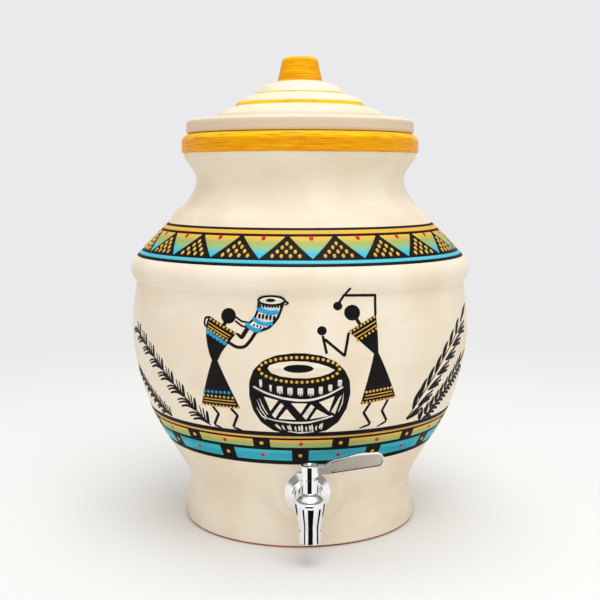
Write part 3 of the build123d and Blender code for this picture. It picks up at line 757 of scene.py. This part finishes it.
# Upper laces: each leans out from x, reaches from high to low and is drawn in three strokes over its width
for x, high, low, width in ((-35.2, 140.4, 133.6, 1.6), (-28.2, 136.6, 130.6, 1.4),
                            (-21.6, 135.8, 129.0, 3.7), (-14.3, 134.8, 128.0, 3.2),
                            (-7.0, 134.5, 127.6, 3.3), (0.5, 134.4, 127.6, 3.9), (7.6, 135.4, 128.6, 2.4),
                            (14.4, 136.8, 130.6, 2.4), (21.2, 140.2, 134.0, 2.6)):
    for share, rise in ((-0.36, 0.9), (0, 0), (0.36, 0.6)):
        stroke(white, [(x + width * share, high), (x + width * share * 1.2, low + rise)],
               0.25 + width * 0.36, on=1, start=0.9, end=0.4)

# Triangles, and the slanting bars between them
for corners in (((-33.4, 127.4), (-22.8, 124.6), (-29.2, 116.2)),
                ((-14, 122.7), (-1.8, 122.4), (-6.8, 114.4)),
                ((6.5, 123.2), (18, 127.6), (14.3, 115.8)),
                ((-17, 118.1), (-23.6, 109.9), (-10.4, 109.6)),
                ((5.2, 117.8), (0.1, 109.8), (14.4, 112.3))):
    first, second, point = np.array(corners)
    field(cream, [first, point], [second, point + (0.1, 0)], on=1, rows=14, columns=10, sharpness=20)
for near, far, low_far, low_near in (((-28.4, 113), (-21.2, 122.8), (-18.8, 120.8), (-25.9, 110.2)),
                                     ((-5.5, 112.6), (0.9, 121.7), (3.6, 119.6), (-2.6, 109.2)),
                                     ((15.8, 115.4), (21.2, 126), (23.2, 128.6), (19.2, 113.4))):
    field(white, [near, far], [low_near, low_far], on=1, rows=12, columns=6, sharpness=20)

# Thin strokes at the shell's sides
for bristle in ([(-38.8, 125), (-36.4, 117), (-32.4, 111.2)], [(-37.0, 126.2), (-34.2, 118), (-31.2, 113)],
                [(-39.6, 118.6), (-36.4, 112.6), (-33, 108.8)], [(24.4, 130), (24.0, 122), (21.4, 115)]):
    stroke(white, bristle, 0.9, on=1, start=0.2, end=0.7, reach=3)

# Lower laces: each runs from x at its high end to foot at its low one, in two strokes
for x, high, foot, low, width in ((-26, 106.2, -22, 101.0, 1.6), (-21, 105.4, -18.8, 100.6, 1.0),
                                  (-16, 105.6, -14.4, 100.0, 2.4), (-11, 104.6, -10.2, 99.8, 1.0),
                                  (-6.8, 105.4, -6.4, 99.4, 3.2), (-2.6, 104.6, -2.2, 99.8, 1.0),
                                  (1, 105.8, 1.8, 99.6, 2.8), (5.2, 105, 5.2, 100.2, 1.0),
                                  (9.4, 107, 8.4, 101.2, 2.2)):
    for share, drop in ((-0.34, 0.7), (0.3, 0)):
        stroke(white, [(x + width * share, high - drop), (foot + width * share, low + drop)],
               0.3 + width * 0.5, on=1, start=0.5, end=0.5)
stroke(white, [(-17, 100.0), (-7, 98.8), (4, 99.8)], 1.3, on=1, start=0.3, end=0.3, reach=3)


# The figure that beats the drum

# Head, neck, chest and skirt
spot(black, (30, 188.4), 6.0, 5.7)
stroke(black, [(32.6, 184.4), (35.6, 179.4)], 2.7)
field(black, [(26.6, 175.2), (45.8, 158)], [(48.2, 186.8), (49.4, 158)], rows=40)
field(black, [(46.2, 159.4), (38.2, 119.6)], [(49.0, 159.4), (68.2, 122.6)], rows=40, columns=24)

# Raised stick and arm, then lowered arm and stick
stroke(black, [(28.2, 206.8), (20.4, 195.4)], 1.9)
spot(black, (19.6, 193.4), 3.4, 3.1)
stroke(black, [(24.4, 201), (48.2, 200.2), (47.6, 185.4)], 2.1, fullness=0.4)
stroke(black, [(27, 174.6), (24, 157.6), (9.6, 170.4)], 2.1)
stroke(black, [(11.4, 159.2), (8.4, 173)], 2.0)
spot(black, (8, 176.2), 3.4, 3.3)

# Legs
for hip, knee, ankle, toe in (((46.6, 120.8), (41.9, 112.8), (49.2, 103), (40, 100.2)),
                              ((61.4, 122), (57.5, 113), (63.9, 104), (55.4, 100))):
    stroke(black, [hip, knee, ankle], 2.2)
    stroke(black, [ankle, toe], 1.8, end=0.5)

# Beads and cords across the chest and along the hem
drops(drop_gold, row((28.4, 174.8), (46.4, 184.5), 8), 1.0)
stroke(gold, [(29.6, 172.3), (47.9, 181.8)], 0.8, on=1)
stroke(gold, [(31.8, 170.2), (48.0, 178.8)], 0.8, on=1)
drops(drop_gold, row((33.6, 168.4), (47.8, 176.2), 6), 1.0)
drops(drop_gold, row((42.0, 129.2), (62.4, 131.0), 8), 1.1)
stroke(gold, [(41.2, 126.3), (64.0, 128.2)], 0.85, on=1)
stroke(gold, [(40.6, 123.8), (65.0, 126.0)], 0.85, on=1)
drops(drop_gold, row((40.2, 121.2), (66.0, 123.1), 10), 0.95)


# Ferns at both sides

def fern(line, shares, leaves):
    """Leaves along a line, at shares of it. A leaf has its own small share further on, its way at the first
    and at the last share, its width, its bend to the left of its way, and the shares of its width at both
    ends. It runs from its root on the line through a middle moved sideways by its bend."""
    spine = softened(line, 10)
    for share in shares:
        for further, first, last, width, bend, start, end in leaves:
            root = even(spine, np.array([share + further]))[0]
            way = np.array(first) + share * (np.array(last) - first)
            middle = root + way / 2 + np.array((-way[1], way[0])) * bend
            stroke(black, [root, middle, root + way], width, start=start, end=end, reach=np.hypot(*way) / 2,
                   fullness=0.6)


left_stem = [(-82, 99.8), (-90, 107), (-100, 117.2), (-110, 126.3), (-120, 135), (-130, 144), (-140, 151.6),
             (-150, 157.8), (-160, 162.6), (-172, 166)]
stroke(black, left_stem, 2.0, start=0.8, end=0.6, reach=10)
fern(left_stem, np.linspace(0.02, 0.87, 8),
     ((0, (1.2, 10.6), (0.4, 8.6), 3.2, 0.03, 0.8, 0.3),
      (0.03, (0.4, 10.4), (-0.8, 8), 1.5, 0.03, 0.9, 0.5),
      (0.056, (-0.6, 9.8), (-1.6, 7.4), 1.3, 0.03, 0.8, 0.5),
      (0, (-16, 1.2), (-17.5, -1.6), 2.3, -0.17, 1, 0.4),
      (0.034, (-15.6, 1), (-16.5, -2), 1.7, -0.18, 1, 0.6),
      (0.066, (-14, 0.6), (-14.5, -2.6), 1.6, -0.18, 1, 0.6)))
far_left_stem = [(-128, 99.8), (-140, 106.8), (-150, 112.4), (-160, 119), (-172, 125), (-184, 130)]
stroke(black, far_left_stem, 1.5, reach=10)
fern(far_left_stem, np.linspace(0.02, 0.9, 9),
     ((0, (1.4, 8), (0.6, 6.4), 2.2, 0.03, 0.8, 0.4), (0.04, (-0.6, 7.4), (-1, 6), 1.8, 0.03, 0.8, 0.5),
      (0, (-17, -1), (-15, -3), 2.1, -0.16, 1, 0.5), (0.05, (-14.6, -1), (-13, -3.4), 1.7, -0.16, 1, 0.5)))
right_stem = [(84, 102.4), (89.5, 109.3), (94.5, 118), (101, 126.3), (108, 135), (115, 145.2), (124, 154),
              (134.5, 162.3), (150, 172)]
stroke(black, right_stem, 1.3, start=0.8, end=0.6, reach=10)
fern(right_stem[1:-1], np.linspace(0, 1, 7) ** 1.12,
     ((0, (3.8, 17.4), (7.2, 13), 5.4, 0.09, 0.3, 0.02),))
fern([(85, 102), (94.5, 112), (101, 122), (109, 132), (119, 144), (129, 154.4), (140, 163.4)],
     np.linspace(0, 1, 7),
     ((0, (16, 11), (17.4, 7.4), 2.6, 0.05, 0.3, 0.5), (0, (16.2, 7.6), (18.4, 3.2), 2.6, 0.02, 0.3, 0.7),
      (0, (13.6, 4.4), (17.6, -0.8), 2.6, 0, 0.3, 0.7)))
stroke(black, [(145, 171.6), (154, 177.4), (168, 184)], 5.4, start=0.4, end=0.1, reach=6)
fern([(103, 98.8), (112, 105), (122, 113), (132, 121), (142, 128.5), (152, 136)], np.linspace(0, 1, 10),
     ((0, (-1.4, 10.6), (1, 10.6), 5.2, 0.06, 0.35, 0.1), (0, (-4.6, 6.4), (-2, 7.6), 3.2, 0.05, 0.5, 0.35)))
fern([(105.6, 99), (112, 105), (118, 110.6), (126, 116.6), (134, 122.4), (141, 127.6), (151, 134)],
     np.linspace(0, 1, 14), ((0, (13.6, 0.6), (17, -4.4), 3.0, 0.12, 0.9, 0.5),))
stroke(black, [(150, 134.6), (160, 141), (171, 146.4)], 4.6, start=0.5, end=0.2, reach=6)


# Finishes of the painted work

black.make("painted_black_work",
           paint("black_paint", BLACK, BLACK_WORN, roughness=0.55, fineness=300.0, depth=0.08, specular=0.12))
gold.make("painted_gold_lines", paint("gold_line_paint", LINE_GOLD, LINE_GOLD_DARK, roughness=0.35))
white.make("painted_white_work", paint("chalk_white_paint", CHALK_WHITE, CHALK_GREY, fineness=400.0))
cream.make("painted_drum_skin", paint("drum_cream_paint", CREAM_CHALK, CREAM_SHADE))
red.make("painted_red_dots", paint("red_paint", RED, RED_DARK, roughness=0.3, fineness=900.0))
drop_gold.make("gold_drops", paint("gold_drop_paint", DROP_GOLD, DROP_AMBER, roughness=0.3, fineness=900.0))
horn_blue.make("painted_blue_dots",
               paint("blue_drop_paint", HORN_BLUE, HORN_BLUE_PALE, roughness=0.32, fineness=900.0))
stripe_yellow.make("shoulder_yellow_stripe",
                   paint("yellow_stripe_paint", STRIPE_YELLOW, STRIPE_AMBER, fineness=500.0))
sky_blue.make("shoulder_blue_stripe", paint("blue_stripe_paint", SKY_BLUE, SKY_BLUE_PALE, fineness=500.0))
shoulder_cells.make("shoulder_triangles", graded_paint("graded_triangle_paint", TRIANGLE_TIP, TRIANGLE_TOP, (
    (0.02, STRIPE_YELLOW), (0.32, OLIVE_GREEN), (0.5, LEAF_GREEN), (0.78, SKY_BLUE))))
upper_cells.make("border_yellow_cells", graded_paint("graded_cell_paint", *UPPER_GRADE, (
    (0.2, STRIPE_AMBER), (0.6, OLIVE_GREEN), (0.95, LEAF_GREEN))))
teal_cells.make("border_teal_cells", paint("teal_paint", TEAL, TEAL_DEEP, fineness=180.0))


# Finishes of the solids

chrome = metal("polished_chrome", CHROME, CHROME_DULL, roughness=0.04, grain=2500.0, depth=0.01)
lever = lever_metal("lever_metal")
plain = metal("plain_steel", STEEL, STEEL_DULL, roughness=0.3, grain=2600.0, depth=0.1)
soft = moulded("soft_silicone", SILICONE, SILICONE_DULL, roughness=0.5)
rubber = moulded("black_rubber", RUBBER, RUBBER_DULL, roughness=0.6)
seat_white = moulded("seat_plastic", SEAT, SEAT_DULL, roughness=0.4)

finishes = {
    "jar": clay_material("painted_jar", JAR_GILDING, JAR_BARE_BELOW),
    "lid": clay_material("painted_lid", LID_GILDING, LID_BARE_BELOW, LID_PAINTED_SHADE_BELOW),
    "escutcheon": chrome, "tap_body": chrome, "lever_handle": lever, "handle_screw": chrome,
    "threaded_shank": plain, "clamp_washer": plain, "lock_nut": plain, "valve_ball": chrome,
    "valve_stem": plain, "outer_gasket": soft, "inner_gasket": soft, "stem_o_rings": rubber,
    "inlet_seat": seat_white, "front_seat": seat_white, "thrust_washer": seat_white,
}
for name, finish in finishes.items():
    nodes[name].data.materials.clear()
    nodes[name].data.materials.append(finish)


# Floor

FLOOR_REACH = 4.0
FLOOR_CORNERS = [(FLOOR_REACH * right, FLOOR_REACH * back, 0) for right, back in
                 ((-1, -1), (1, -1), (1, 1), (-1, 1))]
FADE_START, FADE_END = 0.5, 1.3


def staged(name, points, faces, material):
    """A mesh kept as part of the stage."""
    mesh = bpy.data.meshes.new(name)
    mesh.from_pydata(points, [], faces)
    mesh.materials.append(material)
    thing = add(name, mesh)
    thing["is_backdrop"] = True
    return thing


def floor_paper():
    """Pale mottled paper that fades out away from the jar, so that no far edge of it shows."""
    material, tree, shader = new_material("floor_paper", 0.9, specular=0.0)
    place = place_of(tree)
    tree.links.new(blend_of(tree, noise_of(tree, place, 3.0), PAPER, PAPER_PALE), shader.inputs["Base Color"])
    gone = ramp_of(tree, vector_of(tree, "LENGTH", place)["Value"], FADE_START, FADE_END)
    clear = node_of(tree, "ShaderNodeBsdfTransparent").outputs[0]
    fade = node_of(tree, "ShaderNodeMixShader", {0: gone, 1: shader.outputs[0], 2: clear})
    tree.links.new(fade.outputs[0], tree.nodes["Material Output"].inputs["Surface"])
    return material


staged("floor", FLOOR_CORNERS, [(0, 1, 2, 3)], floor_paper())


# Dark strips that only the tap's polish mirrors: painted reflections of shade

STRIP_STEPS = 16
STRIP_HEIGHT = 0.001


def painted_reflection_material():
    """Matt black with a faint mottle, for painted reflections of shade."""
    material, tree, shader = new_material("painted_reflection_black", 0.9, specular=0.0)
    faint_mottle = noise_of(tree, place_of(tree), 40.0)
    tree.links.new(blend_of(tree, faint_mottle, REFLECTED_SHADE_BLACK, REFLECTED_SHADE_MOTTLE), shader.inputs["Base Color"])
    return material


def dark_strip(name, turns, distances, mirrored_black):
    """A strip on the floor that only polish shows, a painted reflection of shade: part of a ring about the
    stem's axis between two turns from straight ahead, in degrees. A point lies at its distance times the sine
    of its turn to the right, and times its cosine to the front."""
    turn = np.radians(np.linspace(*turns, STRIP_STEPS + 1))
    reach = np.repeat(distances, len(turn))
    turn = np.tile(turn, 2)
    height = np.full(len(turn), STRIP_HEIGHT)
    points = np.stack((STEM[0] + reach * np.sin(turn), STEM[1] - reach * np.cos(turn), height), -1)
    near = np.arange(STRIP_STEPS)
    far = near + STRIP_STEPS + 1
    strip = staged(name, points.tolist(), np.stack((near, far, far + 1, near + 1), -1).tolist(), mirrored_black)
    strip.visible_camera = strip.visible_diffuse = strip.visible_shadow = strip.visible_transmission = False


painted_reflection_black = painted_reflection_material()
dark_strip("dark_near", (-19, 25), (0.02, 0.096), painted_reflection_black)
dark_strip("dark_far", (-36, 21), (0.138, 0.3), painted_reflection_black)
dark_strip("dark_left", (-165, -112), (0.08, 0.2), painted_reflection_black)
dark_strip("dark_right", (112, 165), (0.08, 0.2), painted_reflection_black)
dark_strip("thin_left", (-60, -46), (0.02, 0.1), painted_reflection_black)
dark_strip("thin_right", (66, 86), (0.02, 0.1), painted_reflection_black)


# Light

FILL = 0.72


def studio_world():
    """White fill, and a pale backdrop that the camera, polish and glass see in its place. Polish also sees a
    duller ceiling, which rises and falls between heights of the sky."""
    world = bpy.data.worlds.new("studio")
    world.use_nodes = True
    tree = world.node_tree
    rays = node_of(tree, "ShaderNodeLightPath").outputs
    polish = rays["Is Glossy Ray"]
    up = height_of(tree, node_of(tree, "ShaderNodeTexCoord").outputs["Generated"])
    ceiling = math_of(tree, "MULTIPLY", ramp_of(tree, up, 0.08, 0.4), ramp_of(tree, up, 0.85, 0.65))
    ceiling = math_of(tree, "MULTIPLY", ceiling, polish)
    colour = blend_of(tree, polish, BACKDROP, BACKDROP_IN_GLOSS)
    colour = blend_of(tree, ceiling, colour, CEILING_IN_GLOSS)
    backdrop = node_of(tree, "ShaderNodeBackground", {0: colour, 1: 1.0}).outputs[0]
    fill = node_of(tree, "ShaderNodeBackground", {0: (1, 1, 1, 1), 1: FILL}).outputs[0]
    seen = math_of(tree, "MAXIMUM", polish, rays["Is Transmission Ray"])
    seen = math_of(tree, "MAXIMUM", rays["Is Camera Ray"], seen)
    both = node_of(tree, "ShaderNodeMixShader", {0: seen, 1: fill, 2: backdrop})
    tree.links.new(both.outputs[0], tree.nodes["World Output"].inputs["Surface"])
    return world


def lamp(name, place, aim, width, height, watts):
    """A soft white rectangular lamp that faces a point."""
    data = bpy.data.lights.new(name, "AREA")
    data.shape, data.size, data.size_y, data.energy = "RECTANGLE", width, height, watts
    thing = add(name, data)
    thing.location = place
    thing.rotation_euler = (Vector(aim) - Vector(place)).to_track_quat("-Z", "Y").to_euler()


bpy.context.scene.world = studio_world()
lamp("soft_overhead", (0.0, 0.15, 1.9), aim=(0, 0, 0.15), width=1.0, height=1.0, watts=7)
lamp("soft_front", (0.2, -0.75, 1.65), aim=(0, 0, 0.2), width=1.2, height=0.9, watts=9.5)
lamp("soft_low", (0.0, -1.6, 0.14), aim=(0, 0, 0.02), width=1.6, height=0.24, watts=1.6)


# The photograph's view, by a camera fitted to the jar's painted rings

CAMERA_PLACE = (-0.04576, -0.85878, 0.2861)
CAMERA_TILT, CAMERA_TURN = 83.06, -3.05
CAMERA_LENS, SENSOR_WIDTH = 61.41, 36.0

camera_data = bpy.data.cameras.new("camera")
camera_data.lens, camera_data.sensor_width = CAMERA_LENS, SENSOR_WIDTH
camera = add("camera", camera_data)
camera.location = CAMERA_PLACE
camera.rotation_euler = (radians(CAMERA_TILT), 0, radians(CAMERA_TURN))
bpy.context.scene.camera = camera
bpy.context.scene.view_settings.view_transform = "Standard"

low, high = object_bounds()
